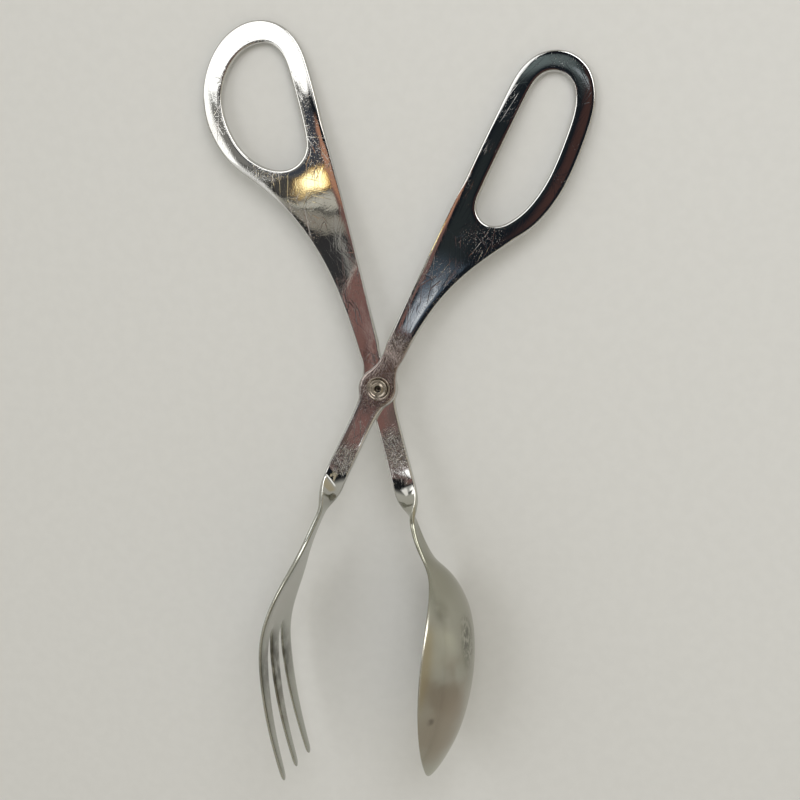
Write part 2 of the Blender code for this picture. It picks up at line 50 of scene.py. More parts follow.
# What both arms share, in metres and degrees
stack = {
    "handlePlate": 0.0024,
    "seatDrop": 0.0004,
    "neckPlate": 0.0016,
    "armGap": 0.0003,
    "restGap": 0.0003,
    "holeRadius": 0.00226,
    "rivetShift": 0.0005,  # the rivet stands this far right of the bosses' middle
    "cutterReach": 0.006,
    "cutterSides": 96,
}
strip = {
    "half": 0.00368,
    "waistHalf": 0.0033,
    "waistLength": 0.0026,
    "bossRadius": 0.0064,
    "bossStep": 22,        # the boss's outline has a row of points at every so many degrees
    "seatReach": 0.0118,
    "seatStep": 0.0011,
    "seatSlant": 17,
    "neckHalf": 0.0029,
    "webBase": 0.0170,
    "twistStart": 0.0295,
    "twistLength": 0.0165,
    "twistHalf": 0.00385,
    "twistTurn": 90,
    "edgeInset": 0.0008,
    "domeReach": 0.0018,   # the flat faces fall away over this distance from an edge
    "domeDrop": 0.00005,
    "columns": (-1, -0.8, -0.58, -0.37, -0.18, 0, 0.18, 0.37, 0.58, 0.8, 1),
    "loopEdges": 22,
    "curveSteps": 12,
    "webRows": 4,
    "twistRows": 9,
    "smoothLevels": 3,
}
bossPlate = stack["handlePlate"] - stack["seatDrop"]
webEdges = len(strip["columns"]) - 1

spoonArm = {
    "name": "spoonArm",
    "node": "spoon_arm",
    "body": "spoon_side",
    "side": 1,
    "front": -1,
    "angle": 14.7,
    "domeEnd": (0.062, 0.080),
    "holeWidth": 0.0250,
    "holeLength": 0.0422,
    "holeFoot": 0.0767,
    "bar": 0.0066,
    "crown": 0.0015,
    "heel": 0.0009,
    "flareLow": 0.029,
    "flareHigh": 0.016,
    "footCount": 5,
    "holeShares": ((0, 0.27), (0.05, 0.095), (0.19, 0.02), (0.36, 0), (0.54, 0.035), (0.70, 0.10),
                   (0.88, 0.235), (0.98, 0.42), (0.99, 0.60), (0.92, 0.75), (0.76, 0.885),
                   (0.55, 0.975), (0.33, 1), (0.14, 0.97), (0.03, 0.87), (0, 0.74)),
    "neckShift": 0.0001,
    "twistLate": 1.75,
    "length": 0.0845,
    "spine": ((0.012, 0), (0.1065, -13), (0.059, 0), (0.1185, 28), (0.1775, 6), (0.5265, -7)),
    "headHalf": 0.0233,
    "headPlate": 0.0013,
    "thinBy": 0.25,        # the plate is down to the head's at this share of the length
    "depth": 0.0129,
    "tipLead": 0.0016,
    "tipShare": 0.06,
    "bellyPower": 0.75,
    "widths": ((0, 0), (0.06, 0.10), (0.142, 0.14), (0.19, 0.21), (0.227, 0.34), (0.26, 0.48),
               (0.31, 0.64), (0.366, 0.80), (0.43, 0.92), (0.51, 0.995), (0.58, 1), (0.67, 0.95),
               (0.754, 0.84), (0.84, 0.66), (0.915, 0.44), (0.97, 0.18), (1, 0)),
    "depths": ((0, 0), (0.13, 0), (0.18, 0.11), (0.227, 0.33), (0.305, 0.65), (0.383, 0.85),
               (0.46, 0.945), (0.54, 1.005), (0.62, 1.01), (0.70, 0.95), (0.77, 0.86), (0.85, 0.70),
               (0.93, 0.43), (0.97, 0.23), (1, 0)),
    "rows": (0.06, 0.12, 0.17, 0.21, 0.25, 0.30, 0.36, 0.43, 0.51, 0.59, 0.68, 0.76, 0.84, 0.91,
             0.965, 1),
}

forkArm = {
    "name": "forkArm",
    "node": "fork_arm",
    "body": "fork_side",
    "side": -1,
    "front": 1,
    "angle": -26.0,
    "domeEnd": (-0.0275, -0.0215),
    "holeWidth": 0.0174,
    "holeLength": 0.0534,
    "holeFoot": 0.0635,
    "bar": 0.0065,
    "crown": 0.0012,
    "heel": 0.0005,
    "flareLow": 0.022,
    "flareHigh": 0.014,
    "footCount": 5,
    "holeShares": ((0, 0.17), (0.04, 0.065), (0.20, 0.012), (0.36, 0), (0.53, 0.02), (0.70, 0.07),
                   (0.88, 0.18), (0.99, 0.36), (0.99, 0.52), (0.945, 0.68), (0.86, 0.85),
                   (0.66, 0.97), (0.38, 1), (0.13, 0.965), (0.02, 0.90), (0, 0.80)),
    "neckShift": 0.0009,
    "twistLate": 1.2,
    "length": 0.0895,
    "spine": ((0.14, 4), (0.134, -3), (0.112, 5), (0.19, 24), (0.346, 12), (0.078, 0)),
    "headHalf": 0.0182,
    "headPlate": 0.0016,
    "tipPlate": 0.0011,
    "dish": 0.0003,
    "tineWidth": 0.0092,
    "outerExtra": 0.0012,
    "tineTipWidth": 0.0036,
    "tinePitch": 0.0156,
    "tineRoot": 0.485,
    "tinePoint": 0.0016,
    "slotRound": 0.0020,
    "slotColumns": (3, 7),
    "tineColumns": (1, 5, 9),
    "widths": ((0, 0), (0.10, 0.07), (0.18, 0.26), (0.26, 0.68), (0.34, 0.88), (0.41, 0.96),
               (0.49, 0.99), (0.52, 1), (1, 1)),
    "dishes": ((0, 0), (0.18, 0), (0.40, 0.85), (0.60, 1), (1, 0.6)),
    "rows": (0.08, 0.15, 0.22, 0.29, 0.36, 0.43),
    "tineRows": (0.12, 0.32, 0.55, 0.78, 0.93),
}


def hermite(p0, p1, m0, m1, chord, t):
    a, b = 2 * t**3 - 3 * t**2 + 1, t**3 - 2 * t**2 + t
    c, d = -2 * t**3 + 3 * t**2, t**3 - t**2
    return a * p0 + b * chord * m0 + c * p1 + d * chord * m1


def closedCurve(points, steps):
    # a smooth ring through the points, with so many steps from each to the next
    points = np.array(points, float)
    count = len(points)
    chords = [np.linalg.norm(points[(i + 1) % count] - points[i]) for i in range(count)]
    slopes = [(points[(i + 1) % count] - points[i - 1]) / (chords[i] + chords[i - 1])
              for i in range(count)]
    return np.array([hermite(points[i], points[(i + 1) % count], slopes[i], slopes[(i + 1) % count],
                             chords[i], k / steps) for i in range(count) for k in range(steps)])


def along(table, t):
    # the value at t on a smooth curve through a table's places and values
    places = [row[0] for row in table]
    values = [row[1] for row in table]
    last = len(table) - 1
    i = max(k for k in range(last) if places[k] <= t or k == 0)

    def slope(k):
        low, high = max(k - 1, 0), min(k + 1, last)
        return (values[high] - values[low]) / (places[high] - places[low])
    span = places[i + 1] - places[i]
    return hermite(values[i], values[i + 1], slope(i), slope(i + 1), span, (t - places[i]) / span)


def evenSteps(line, edges):
    reach = np.concatenate([[0], np.cumsum(np.linalg.norm(np.diff(line, axis=0), axis=1))])
    wanted = np.linspace(0, reach[-1], edges + 1)
    return np.stack([np.interp(wanted, reach, line[:, k]) for k in range(2)], axis=1)


def bezier(points, t):
    a, b, c, d = points
    s = 1 - t
    return s**3 * a + 3 * s * s * t * b + 3 * s * t * t * c + t**3 * d


def mix(low, high, t):
    return low + (high - low) * t


def spinePlace(arm, at):
    # the head's middle line is a chain of arcs, each with its share of the length and its bend
    start = (-arm["neckShift"], -strip["twistStart"] - strip["twistLength"])
    place, heading = np.array(start, float), 0.0  # heading 0 runs straight down
    for share, bend in arm["spine"]:
        part = min(max(at, 0), share)
        run = part * arm["length"]
        turn = math.radians(bend) * part / share
        middle = heading + turn / 2
        chord = run if turn == 0 else run * math.sin(turn / 2) / (turn / 2)
        place = place + chord * np.array((-math.sin(middle), -math.cos(middle)))
        heading += turn
        at -= share
    return place, heading


# The coarse quads of one arm: q runs across it, u along it and z through it
class Sheet:
    def __init__(self):
        self.points, self.plates, self.quads = [], [], []

    def add(self, q, u, z, plate):
        self.points.append((q, u, z))
        self.plates.append(plate)
        return len(self.points) - 1

    def join(self, upper, lower, columns=None):
        for k in columns if columns is not None else range(len(upper) - 1):
            self.quads.append((upper[k], lower[k], lower[k + 1], upper[k + 1]))


def loopRings(hole, arm):
    # the rings of the finger or thumb loop, from its hole outwards
    steps = strip["curveSteps"]
    curve = closedCurve(hole, steps)
    split = arm["footCount"] * steps
    foot = evenSteps(curve[:split + 1], webEdges)
    rest = evenSteps(np.vstack([curve[split:], curve[:1]]), strip["loopEdges"])
    ring = np.vstack([foot, rest[1:-1]])
    count = len(ring)
    across = np.array([ring[(i + 1) % count] - ring[i - 1] for i in range(count)])
    outward = np.stack([across[:, 1], -across[:, 0]], axis=1)
    outward /= np.linalg.norm(outward, axis=1)[:, None]
    if outward[0][0] < 0:
        outward = -outward
    left, up = -outward[:, 0], outward[:, 1]
    width = arm["bar"] + arm["crown"] * np.maximum(up, 0) ** 2
    width = width - 2 * arm["heel"] * np.maximum(left, 0) * np.maximum(-up, 0)
    insets = (0, strip["edgeInset"], strip["domeReach"])
    offsets = [np.full(count, inset) for inset in insets]
    offsets += [width - inset for inset in reversed(insets)]
    return [ring + outward * offset[:, None] for offset in offsets]


def handleSheet(sheet, z, arm):
    inner = strip["half"] - arm["bar"]
    hole = [(inner - across * arm["holeWidth"], arm["holeFoot"] + up * arm["holeLength"])
            for across, up in arm["holeShares"]]
    rings = loopRings(hole, arm)
    plate = stack["handlePlate"]
    rows = [[sheet.add(q, u, z, plate) for q, u in ring] for ring in rings]
    count = len(rows[0])
    for inside, outside in zip(rows, rows[1:]):
        for i in range(count):
            j = (i + 1) % count
            sheet.quads.append((inside[i], inside[j], outside[j], outside[i]))
    topRow = [rows[-1][webEdges - k] for k in range(webEdges + 1)]
    top = np.array([sheet.points[v][:2] for v in topRow])
    base = np.array([(share * strip["half"], strip["webBase"]) for share in strip["columns"]])
    tangent = rings[-1][webEdges + 1] - rings[-1][webEdges - 1]
    tangent = -tangent / np.linalg.norm(tangent)
    flare = (top[0], top[0] + tangent * arm["flareHigh"],
             base[0] + np.array((0, arm["flareLow"])), base[0])
    row = topRow
    for step in range(1, strip["webRows"] + 1):
        t = step / strip["webRows"]
        shift = bezier(flare, t) - (top[0] * (1 - t) + base[0] * t)
        line = np.array([top[k] * (1 - t) + base[k] * t + shift * (1 - k / webEdges)
                         for k in range(webEdges + 1)])
        if step < strip["webRows"]:
            for rim, near in ((0, 1), (webEdges, webEdges - 1)):
                reach = line[near] - line[rim]
                line[near] = line[rim] + reach * min(1, strip["edgeInset"] / np.linalg.norm(reach))
        lower = [sheet.add(q, u, z, plate) for q, u in line]
        sheet.join(row, lower)
        row = lower
    return row


def shankSheet(sheet, z, row):
    ringStep = math.radians(strip["bossStep"])
    radius = strip["bossRadius"]
    swell = radius * 3 / (2 + math.cos(ringStep))  # smoothing draws the outline back to the radius
    boss = [(swell * math.sin(ringStep * k), swell * math.cos(ringStep * k)) for k in range(3)]
    slant = math.radians(strip["seatSlant"])
    half, waist = strip["half"], strip["waistHalf"]
    rows = [(strip["seatReach"] + strip["seatStep"], half, stack["handlePlate"], slant),
            (strip["seatReach"], waist, bossPlate, slant),
            (radius + strip["waistLength"] / 2, waist, bossPlate, 0)]
    rows += [(boss[k][0], boss[k][1], bossPlate, 0) for k in (2, 1, 0)]
    rows += [(-boss[k][0], boss[k][1], bossPlate, 0) for k in (1, 2)]
    rows += [(-radius, half, bossPlate, 0),
             (-strip["twistStart"], strip["twistHalf"], bossPlate, 0)]
    for u, wide, plate, lean in rows:
        lower = [sheet.add(share * wide, u + share * wide * math.tan(lean), z, plate)
                 for share in strip["columns"]]
        sheet.join(row, lower)
        row = lower
    return row


def crossRow(sheet, front, place, heading, turned, half, shares, plates, depths, lead=None):
    # one row of points across the strip, which is turned about its own length by turned
    side = np.array((math.cos(heading), -math.sin(heading), 0))
    down = np.array((-math.sin(heading), -math.cos(heading), 0))
    up = np.array((0, 0, 1.0))
    width = side * math.cos(turned) + up * math.sin(turned)
    face = -side * math.sin(turned) + up * math.cos(turned)
    centre = np.array((place[0], place[1], front * (stack["armGap"] + bossPlate) / 2))
    row = []
    for k, share in enumerate(shares):
        ahead = lead[k] if lead else 0
        sunk = depths[k] + front * plates[k] / 2
        point = centre + width * share * half - face * sunk + down * ahead
        row.append(sheet.add(*point, plates[k]))
    return row


def twistSheet(sheet, arm, row):
    columns = strip["columns"]
    for step in range(1, strip["twistRows"] + 1):
        t = step / strip["twistRows"]
        ease = 3 * t ** (2 * arm["twistLate"]) - 2 * t ** (3 * arm["twistLate"])
        place = (-arm["neckShift"] * ease, -strip["twistStart"] - strip["twistLength"] * t)
        plate = mix(bossPlate, stack["neckPlate"], t)
        lower = crossRow(sheet, arm["front"], place, 0, math.radians(strip["twistTurn"]) * ease,
                         mix(strip["twistHalf"], strip["neckHalf"], t**3), columns,
                         [plate] * len(columns), [0] * len(columns))
        sheet.join(row, lower)
        row = lower
    return row


def spoonSheet(sheet, arm, row):
    columns = strip["columns"]
    turned = math.radians(strip["twistTurn"])
    for at in arm["rows"]:
        place, heading = spinePlace(arm, at)
        half = mix(strip["neckHalf"], arm["headHalf"], along(arm["widths"], at))
        depth = arm["depth"] * along(arm["depths"], at)
        plate = mix(stack["neckPlate"], arm["headPlate"], min(1, at / arm["thinBy"]))
        lead = [arm["tipLead"] * (1 - share * share) * max(0, 1 - (1 - at) / arm["tipShare"])
                for share in columns]
        depths = [depth * (1 - share * share) ** arm["bellyPower"] for share in columns]
        lower = crossRow(sheet, arm["front"], place, heading, turned, half, columns,
                         [plate] * len(columns), depths, lead)
        sheet.join(row, lower)
        row = lower


def forkSheet(sheet, arm, row):
    half = arm["headHalf"]
    wide = arm["tineWidth"] + arm["outerExtra"]
    inner, outer, middle = half - wide, half - wide / 2, arm["tineWidth"] / 2
    slot = (inner + middle) / 2
    palm = (-half, -outer, -inner, -slot, -middle, 0, middle, slot, inner, outer, half)
    turned = math.radians(strip["twistTurn"])
    for at in (*arm["rows"], arm["tineRoot"]):
        place, heading = spinePlace(arm, at)
        reach = mix(strip["neckHalf"], half, along(arm["widths"], at))
        share = at / arm["tineRoot"]
        shares = [mix(column, edge / half, share) for column, edge in zip(strip["columns"], palm)]
        dish = arm["dish"] * along(arm["dishes"], at)
        plate = mix(stack["neckPlate"], arm["headPlate"], share)
        rise = [0] * len(shares)
        if at == arm["tineRoot"]:
            for k in arm["slotColumns"]:
                rise[k] = -arm["slotRound"]
        lower = crossRow(sheet, arm["front"], place, heading, turned, reach, shares,
                         [plate] * len(shares), [dish * (1 - s * s) for s in shares], rise)
        sheet.join(row, lower)
        row = lower
    for at in (*arm["tineRows"], 1):
        down = mix(arm["tineRoot"], 1, at)
        place, heading = spinePlace(arm, down)
        tine = mix(arm["tineWidth"], arm["tineTipWidth"], at) / 2
        wide = tine + arm["outerExtra"] / 2 * (1 - at**3)
        line = mix(outer, arm["tinePitch"], 1 - (1 - at) ** 2)
        edges = (-line - wide, -line, -line + wide, 0, -tine, 0, tine, 0,
                 line - wide, line, line + wide)
        shares = [edge / half for edge in edges]
        dish = arm["dish"] * along(arm["dishes"], down)
        plate = mix(arm["headPlate"], arm["tipPlate"], at)
        lead = [arm["tinePoint"] if at == 1 and k in arm["tineColumns"] else 0
                for k in range(len(shares))]
        lower = crossRow(sheet, arm["front"], place, heading, turned, half, shares,
                         [plate] * len(shares), [dish * (1 - s * s) for s in shares], lead)
        sheet.join(row, lower, [k for middle in arm["tineColumns"] for k in (middle - 1, middle)])
        row = lower


def domePlates(sheet, arm):
    # the stamped faces are rolled over a little towards every open edge of the handle and shank
    sides = {}
    for quad in sheet.quads:
        for a, b in zip(quad, quad[1:] + quad[:1]):
            sides[frozenset((a, b))] = sides.get(frozenset((a, b)), 0) + 1
    flat = np.array(sheet.points)[:, :2]
    rims = np.array([flat[list(side)] for side, count in sides.items()
                     if count == 1 and len(side) == 2])
    start, run = rims[:, 0], rims[:, 1] - rims[:, 0]
    low, high = arm["domeEnd"]
    for k, (q, u, z) in enumerate(sheet.points):
        if u < low:
            continue
        part = np.clip(((flat[k] - start) * run).sum(axis=1) / (run * run).sum(axis=1), 0, 1)
        off = np.linalg.norm(start + run * part[:, None] - flat[k], axis=1).min()
        fall = strip["domeDrop"] * max(0, 1 - off / strip["domeReach"]) ** 2
        fall *= min(1, (u - low) / (high - low))
        sheet.plates[k] -= fall
        if arm["front"] < 0:
            sheet.points[k] = (q, u, z - fall)


def flatFrame(arm):
    shift = Matrix.Translation((-stack["rivetShift"], 0, 0))
    return tongsPlace @ shift @ Matrix.Rotation(math.radians(arm["angle"]), 4, "Z")


def buildArm(arm, headSheet, material, cutter):
    sheet = Sheet()
    z = arm["front"] * stack["armGap"] / 2
    row = handleSheet(sheet, z, arm)
    row = shankSheet(sheet, z, row)
    row = twistSheet(sheet, arm, row)
    headSheet(sheet, arm, row)
    domePlates(sheet, arm)
    side = arm["side"]
    quads = sheet.quads if side > 0 else [quad[::-1] for quad in sheet.quads]
    mesh = bpy.data.meshes.new(arm["name"])
    mesh.from_pydata([(side * q, u, w) for q, u, w in sheet.points], [], quads)
    bm = bmesh.new()
    bm.from_mesh(mesh)
    bm.verts.ensure_lookup_table()
    weights = bm.verts.layers.deform.verify()
    for vertex, plate in zip(bm.verts, sheet.plates):
        vertex[weights][0] = plate / stack["handlePlate"]
    bmesh.ops.delete(bm, geom=[v for v in bm.verts if not v.link_faces], context="VERTS")
    bm.transform(flatFrame(arm))
    bm.to_mesh(mesh)
    bm.free()
    piece = bpy.data.objects.new(arm["name"], mesh)
    bpy.context.scene.collection.objects.link(piece)
    piece.vertex_groups.new(name="plate")
    mesh.materials.append(material)
    mesh.shade_smooth()
    solid = piece.modifiers.new("plate", "SOLIDIFY")
    solid.thickness = stack["handlePlate"]
    solid.offset = arm["front"]
    solid.vertex_group = "plate"
    solid.use_even_offset = True
    smooth = piece.modifiers.new("rolled edges", "SUBSURF")
    smooth.levels = smooth.render_levels = strip["smoothLevels"]
    cut = piece.modifiers.new("rivet hole", "BOOLEAN")
    cut.operation = "DIFFERENCE"
    cut.solver = "EXACT"
    cut.object = cutter
    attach(piece, arm["body"])
    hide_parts(arm["node"])
    print("built", arm["name"])


def holeCutter():
    bpy.ops.mesh.primitive_cylinder_add(vertices=stack["cutterSides"], radius=stack["holeRadius"],
                                        depth=2 * stack["cutterReach"])
    cutter = bpy.context.object
    cutter.name = "rivetHoleCutter"
    cutter.matrix_world = tongsPlace
    cutter.hide_render = True
    cutter.display_type = "WIRE"
    return cutter


class NodeTools:
    # short names for the shader nodes of the finishes, the table and the room
    def __init__(self, tree):
        self.tree = tree

    def add(self, kind):
        return self.tree.nodes.new("ShaderNode" + kind)

    def feed(self, socket, value):
        if isinstance(value, bpy.types.NodeSocket):
            self.tree.links.new(value, socket)
        else:
            socket.default_value = value

    def mapped(self, vector, shift=(0, 0, 0), turn=(0, 0, 0), scale=(1, 1, 1)):
        node = self.add("Mapping")
        node.inputs["Location"].default_value = shift
        node.inputs["Rotation"].default_value = turn
        node.inputs["Scale"].default_value = scale
        self.feed(node.inputs["Vector"], vector)
        return node.outputs["Vector"]

    def split(self, vector):
        node = self.add("SeparateXYZ")
        self.feed(node.inputs["Vector"], vector)
        return node.outputs

    def math(self, operation, a, b=0.0):
        node = self.add("Math")
        node.operation = operation
        self.feed(node.inputs[0], a)
        self.feed(node.inputs[1], b)
        return node.outputs["Value"]

    def times(self, value, *others):
        for other in others:
            value = self.math("MULTIPLY", value, other)
        return value

    def plus(self, value, *others):
        for other in others:
            value = self.math("ADD", value, other)
        return value

    def larger(self, a, b):
        return self.math("MAXIMUM", a, b)

    def ramp(self, value, low, high, toLow=0.0, toHigh=1.0):
        node = self.add("MapRange")
        node.interpolation_type = "SMOOTHSTEP"
        numbers = {"From Min": low, "From Max": high, "To Min": toLow, "To Max": toHigh}
        for socket, number in numbers.items():
            node.inputs[socket].default_value = number
        self.feed(node.inputs["Value"], value)
        return node.outputs["Result"]

    def noise(self, vector, scale, detail=2.0):
        node = self.add("TexNoise")
        node.inputs["Scale"].default_value = scale
        node.inputs["Detail"].default_value = detail
        node.inputs["Roughness"].default_value = drawLook["noiseRough"]
        self.feed(node.inputs["Vector"], vector)
        return node.outputs["Fac"]

    def mix(self, below, above, amount):
        node = self.add("Mix")
        node.data_type = "RGBA"
        self.feed(node.inputs["Factor"], amount)
        for name, colour in (("A", below), ("B", above)):
            if not isinstance(colour, bpy.types.NodeSocket):
                colour = (*colour, 1)
            self.feed(node.inputs[name], colour)
        return node.outputs["Result"]


# What the finishes are drawn with
drawLook = {
    # a seed moves each noise along its own way
    "patchShift": (1, 1.7, 0.6),
    "lineShift": (1, 0.7, 0.3),
    "breakShift": (2, 1, 0),
    "noiseRough": 0.5,
    "noiseMiddle": 0.5,
    "lineBreak": (0.50, 0.58),  # lines show where a second noise is over this
    "spotCore": 0.35,           # a spot is full up to this share of its reach
}


# A finish is worked out in the flat frame of its piece. For an arm, x runs across it, y along it
# towards the loop and z through the plate.
class Finish(NodeTools):
    def __init__(self, name, flatPlace):
        self.material = bpy.data.materials.new(name)
        self.material.use_nodes = True
        super().__init__(self.material.node_tree)
        self.shader = self.tree.nodes["Principled BSDF"]
        placed = self.add("TexCoord").outputs["Object"]
        inverse = flatPlace.inverted()
        self.place = self.mapped(placed, inverse.to_translation(), inverse.to_euler())

    def patches(self, size, edge, seed, detail=2.0):
        # clouds of about this size, from 0 to 1 as the noise goes through edge
        low, high = edge
        place = self.mapped(self.place, [seed * share for share in drawLook["patchShift"]])
        return self.ramp(self.noise(place, 1 / size, detail), low, high)

    def hairlines(self, turn, apart, length, width, seed):
        # thin lines stand where a drawn-out noise passes through its middle value
        turned = self.mapped(self.place, turn=[math.radians(angle) for angle in turn])
        drawn = self.mapped(turned, [seed * share for share in drawLook["lineShift"]],
                            scale=(1 / apart, 1 / length, 1 / apart))
        off = self.math("SUBTRACT", self.noise(drawn, 1.0, 0.0), drawLook["noiseMiddle"])
        off = self.math("ABSOLUTE", off)
        line = self.ramp(off, 0.0, width / apart, 1.0, 0.0)
        short = self.mapped(turned, [seed * share for share in drawLook["breakShift"]],
                            scale=[2 / length] * 3)
        return self.times(line, self.ramp(self.noise(short, 1.0, 1.0), *drawLook["lineBreak"]))

    def strokes(self, turns, apart, length, width, seeds):
        drawn = 0.0
        for turn, seed in zip(turns, seeds):
            drawn = self.larger(drawn, self.hairlines(turn, apart, length, width, seed))
        return drawn

    def spot(self, place, reach, squash=(1, 1, 1)):
        # 1 at the place and 0 beyond its reach, which squash shortens along an axis
        near = self.mapped(self.place, [-p * q for p, q in zip(place, squash)], scale=squash)
        far = self.add("VectorMath")
        far.operation = "LENGTH"
        self.feed(far.inputs[0], near)
        return self.ramp(far.outputs["Value"], reach * drawLook["spotCore"], reach, 1.0, 0.0)

    def bump(self, height):
        node = self.add("Bump")
        node.inputs["Strength"].default_value = 1.0
        node.inputs["Distance"].default_value = 1.0
        self.feed(node.inputs["Height"], height)
        self.feed(self.shader.inputs["Normal"], node.outputs["Normal"])


# Each layer of a finish is drawn from its own part of the noise, counted on from the look's seed.
# The strokes have places of their own.
layerSeeds = {"worn": 0, "stain": 3, "specks": 5, "smears": 7, "waves": 11, "grain": 13,
              "grit": 17, "dirt": 18, "cloud": 19}
strokeSeeds = {"scuffs": (30, 31, 32, 33), "hatches": (40, 44, 48, 52)}


# Steel that was polished once and has been in a drawer since; its marks also paint shade and
# reflections into the colour
def usedSteel(name, look, flatPlace):
    finish = Finish(name, flatPlace)
    seeds = {layer: look["seed"] + seed for layer, seed in layerSeeds.items()}
    alongArm = finish.split(finish.place)["Y"]
    satin = finish.ramp(alongArm, look["satinFull"], look["satinStart"], 1.0, 0.0)
    polished = finish.math("SUBTRACT", 1.0, satin)

    lines = 0.0
    for turn, apart, length, width, seed in look["scratches"]:
        line = finish.hairlines(turn, apart, length, width, look["seed"] + seed)
        lines = finish.larger(lines, line)
    worn = finish.patches(look["wornSize"], look["wornEdge"], seeds["worn"])
    lines = finish.times(lines, finish.plus(look["scratchLeast"], worn),
                         finish.larger(polished, look["satinScratch"]))
    specks = finish.patches(look["speckSize"], look["speckEdge"], seeds["specks"], detail=0.0)
    specks = finish.times(specks, worn, polished)

    stain = finish.patches(look["stainSize"], look["stainEdge"], seeds["stain"], detail=3.0)
    colour = finish.mix(look["colour"], look["satinColour"], satin)
    colour = finish.mix(colour, look["stain"], finish.times(stain, look["stainDepth"]))

    smears = finish.patches(look["smearSize"], look["smearEdge"], seeds["smears"], detail=4.0)
    rough = finish.plus(finish.times(smears, look["smearRough"]), look["polishRough"],
                        finish.times(satin, look["satinRough"]),
                        finish.times(lines, look["scratchRough"]))

    waves = finish.patches(look["waveSize"], (0.0, 1.0), seeds["waves"], detail=1.0)
    grain = finish.patches(look["grainSize"], look["grainEdge"], seeds["grain"], detail=1.0)
    height = finish.plus(finish.times(waves, look["waveHeight"]),
                         finish.times(lines, -look["scratchDepth"]),
                         finish.times(specks, -look["speckDepth"]),
                         finish.times(grain, look["grainHeight"]))

    if look["scuffs"]:
        turns = [(0, 0, turn) for turn in look["scuffTurns"]]
        scuffed = finish.strokes(turns, look["scuffApart"], look["scuffLength"],
                                 look["scuffWidth"], strokeSeeds["scuffs"])
        grit = finish.patches(look["gritSize"], look["gritEdge"], seeds["grit"], detail=1.0)
        dirt = finish.patches(look["dirtSize"], look["dirtEdge"], seeds["dirt"], detail=1.0)
    for place, reach, squash, dull, share in look["scuffs"]:
        here = finish.spot(place, reach, squash)
        strokes = finish.times(scuffed, here)
        soiled = finish.larger(finish.times(dirt, here), strokes)
        colour = finish.mix(colour, look["soot"], finish.times(soiled, share * look["dirtDepth"]))
        rough = finish.plus(rough, finish.times(here, dull))
        height = finish.plus(height, finish.times(strokes, -share * look["scuffDepth"]),
                             finish.times(grit, here, share * look["gritHeight"]))
    for place, reach, squash, turns, apart, length, width in look["hatches"]:
        turns = [(turn, 0, 0) for turn in turns]
        strokes = finish.strokes(turns, apart, length, width, strokeSeeds["hatches"])
        strokes = finish.times(strokes, finish.spot(place, reach, squash))
        colour = finish.mix(colour, look["soot"], finish.times(strokes, look["hatchDepth"]))
        height = finish.plus(height, finish.times(strokes, -look["scuffDepth"]))
    # marks mix tones into the colour: stains, painted shade and painted reflections
    for place, reach, squash, tone, depth, size in look["stainsAndPaintedLight"]:
        cloud = finish.patches(size, look["cloudEdge"], seeds["cloud"])
        markMask = finish.times(finish.spot(place, reach, squash), cloud, depth)
        colour = finish.mix(colour, tone, markMask)

    finish.shader.inputs["Metallic"].default_value = 1.0
    finish.feed(finish.shader.inputs["Base Color"], colour)
    finish.feed(finish.shader.inputs["Roughness"], rough)
    finish.bump(height)
    return finish.material


# Lengths in metres, turns in degrees. An edge is the two values of the noise between which a
# cloud comes up from 0 to 1.
steelLook = {
    "colour": (0.60, 0.595, 0.575),
    "satinColour": (0.44, 0.435, 0.375),
    "stain": (0.44, 0.40, 0.35),
    "stainSize": 0.030,
    "stainEdge": (0.40, 0.68),
    "stainDepth": 0.30,
    "soot": (0.10, 0.095, 0.08),
    "seed": 1.0,
    # the heads are satin from satinFull on, and the arms polished up to satinStart
    "satinStart": -0.030,
    "satinFull": -0.046,
    "satinRough": 0.20,
    "polishRough": 0.014,
    "smearSize": 0.008,
    "smearEdge": (0.30, 0.70),
    "smearRough": 0.014,
    "scratches": [
        # turn, apart, length, width, seed
        ((0, 0, 3), 0.0020, 0.026, 0.00007, 0.0),
        ((0, 0, -24), 0.0026, 0.024, 0.00007, 2.0),
        ((0, 0, 38), 0.0030, 0.020, 0.00006, 4.0),
        ((0, 0, -62), 0.0034, 0.018, 0.00006, 6.0),
        ((8, 0, 12), 0.0028, 0.030, 0.00006, 8.0),
    ],
    "wornSize": 0.014,     # scratches and specks gather in worn patches
    "wornEdge": (0.40, 0.62),
    "scratchLeast": 0.10,
    "scratchRough": 0.06,
    "scratchDepth": 0.0000035,
    "satinScratch": 0.12,  # what is left of the scratches on the satin heads
    "speckSize": 0.0004,
    "speckEdge": (0.66, 0.74),
    "speckDepth": 0.0000025,
    "waveSize": 0.010,
    "waveHeight": 0.000009,
    "grainSize": 0.0005,
    "grainEdge": (0.2, 0.8),
    "grainHeight": 0.0000003,
    # sparkling patches of short crossing strokes, grit and dirt
    "scuffs": [],
    "scuffTurns": (18, -52, 71, -8),
    "scuffApart": 0.0010,
    "scuffLength": 0.008,
    "scuffWidth": 0.00007,
    "scuffDepth": 0.000014,
    "gritSize": 0.00032,
    "gritEdge": (0.35, 0.65),
    "gritHeight": 0.000009,
    "dirtSize": 0.0005,
    "dirtEdge": (0.45, 0.70),
    "dirtDepth": 0.45,
    # longer strokes
    "hatches": [],
    "hatchDepth": 0.85,
    # stains, painted shade and painted reflections, each broken up by a cloud of its own size
    "stainsAndPaintedLight": [],
    "cloudEdge": (0.25, 0.6),
}
